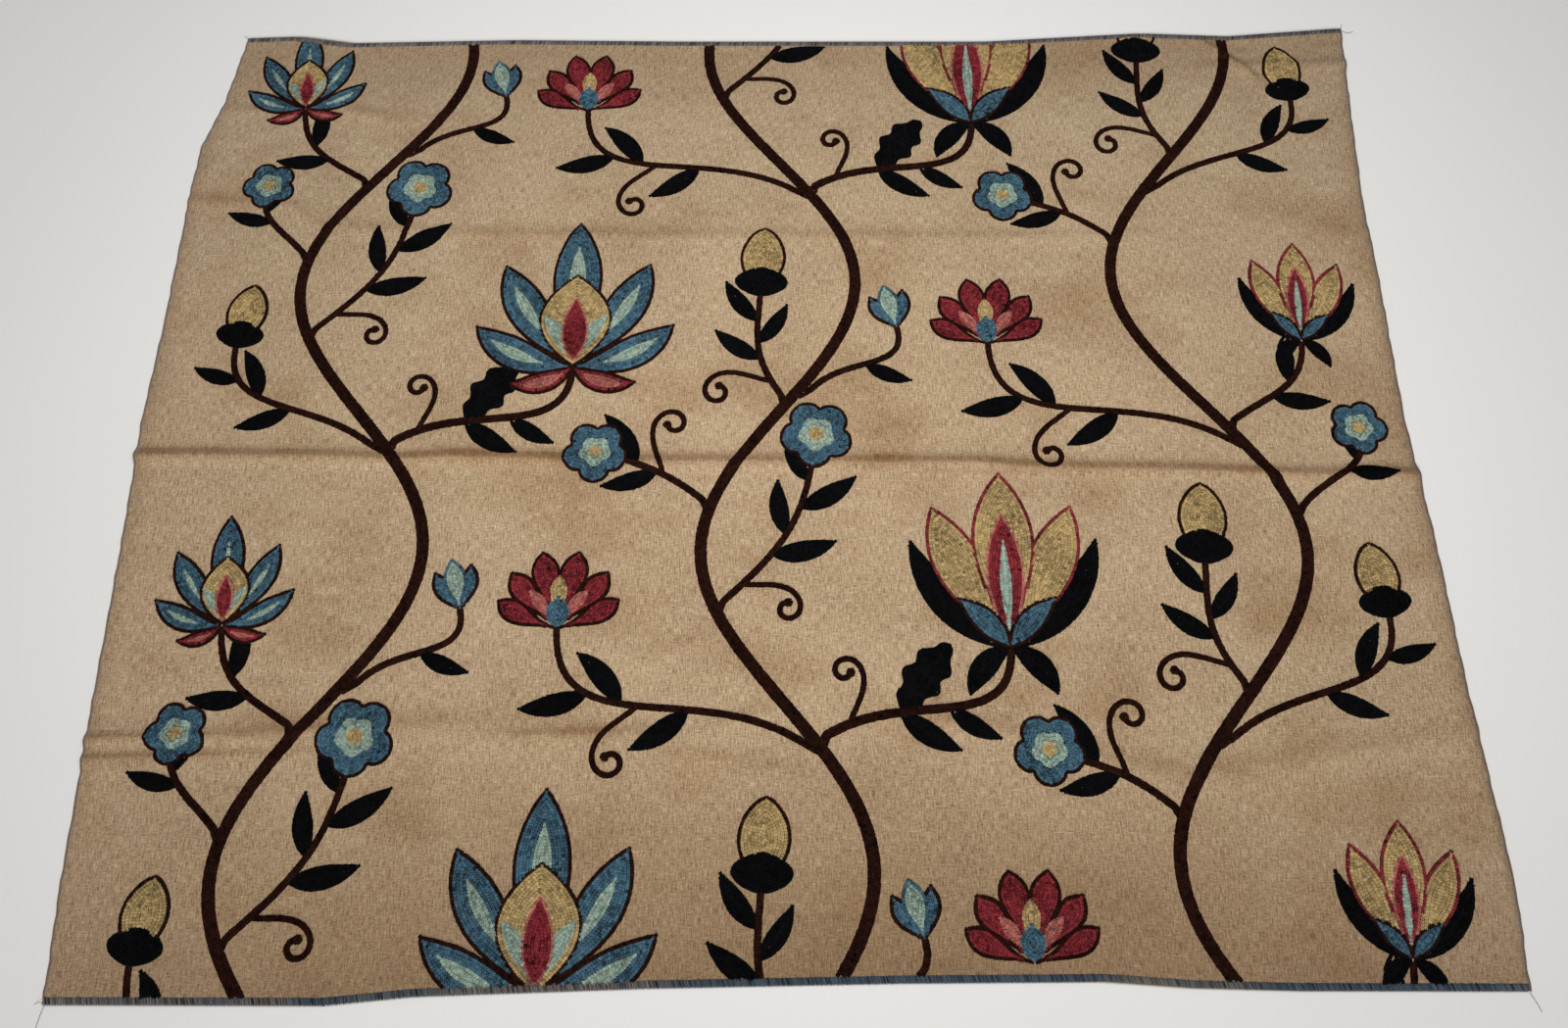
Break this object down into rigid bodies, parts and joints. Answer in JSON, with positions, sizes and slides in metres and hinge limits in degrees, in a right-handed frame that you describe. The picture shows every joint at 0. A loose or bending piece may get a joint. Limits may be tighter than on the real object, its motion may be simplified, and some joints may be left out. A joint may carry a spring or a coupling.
{
  "type": "crewel embroidery panel",
  "caption": "Full-width length of natural linen, overlocked along its cut edges and worked in wool chain stitch with climbing stems, leaves and flowers.",
  "frame": {"origin": "centre of the panel's overall box, on the surface that it lies on", "axes": "+X along the cloth's width from woven edge to woven edge, +Y up the design from one cut edge to the other, +Z out of the embroidered face"},
  "size_m": [1.3915, 1.1082, 0.0072],
  "materials": {
    "linen": "natural slubby plain weave, unbleached tan",
    "overlock_thread": "grey-blue twisted thread, matt",
    "bark_wool": "dark brown crewel wool in chain stitch, matt",
    "blue_wool": "slate blue crewel wool in chain stitch, matt",
    "gold_wool": "old gold crewel wool in chain stitch, matt",
    "crimson_wool": "madder red crewel wool in chain stitch, matt",
    "aqua_wool": "pale grey-green crewel wool in chain stitch, matt"
  },
  "bodies": {
    "root": {"edging_far": "overlock_thread", "edging_near": "overlock_thread", "linen_ground": "linen", "sprig_acorn_01": "gold_wool", "sprig_acorn_02": "gold_wool", "sprig_acorn_03": "gold_wool", "sprig_acorn_04": "gold_wool", "sprig_acorn_05": "gold_wool", "sprig_acorn_06": "gold_wool", "sprig_acorn_07": "gold_wool", "sprig_acorn_08": "gold_wool", "sprig_bud_01": "aqua_wool", "sprig_bud_02": "aqua_wool", "sprig_bud_03": "aqua_wool", "sprig_bud_04": "aqua_wool", "sprig_carnation_01": "crimson_wool", "sprig_carnation_02": "crimson_wool", "sprig_carnation_03": "crimson_wool", "sprig_carnation_04": "crimson_wool", "sprig_palmette_01": "blue_wool", "sprig_palmette_02": "blue_wool", "sprig_palmette_03": "blue_wool", "sprig_palmette_04": "blue_wool", "sprig_rose_01": "blue_wool", "sprig_rose_02": "blue_wool", "sprig_rose_03": "blue_wool", "sprig_rose_04": "blue_wool", "sprig_rose_05": "blue_wool", "sprig_rose_06": "blue_wool", "sprig_rose_07": "blue_wool", "sprig_rose_08": "blue_wool", "sprig_rose_09": "blue_wool", "sprig_rose_10": "blue_wool", "sprig_tulip_01": "gold_wool", "sprig_tulip_02": "gold_wool", "sprig_tulip_03": "gold_wool", "sprig_tulip_04": "gold_wool", "stem_1": "bark_wool", "stem_2": "bark_wool", "stem_3": "bark_wool"}
  },
  "joints": []
}
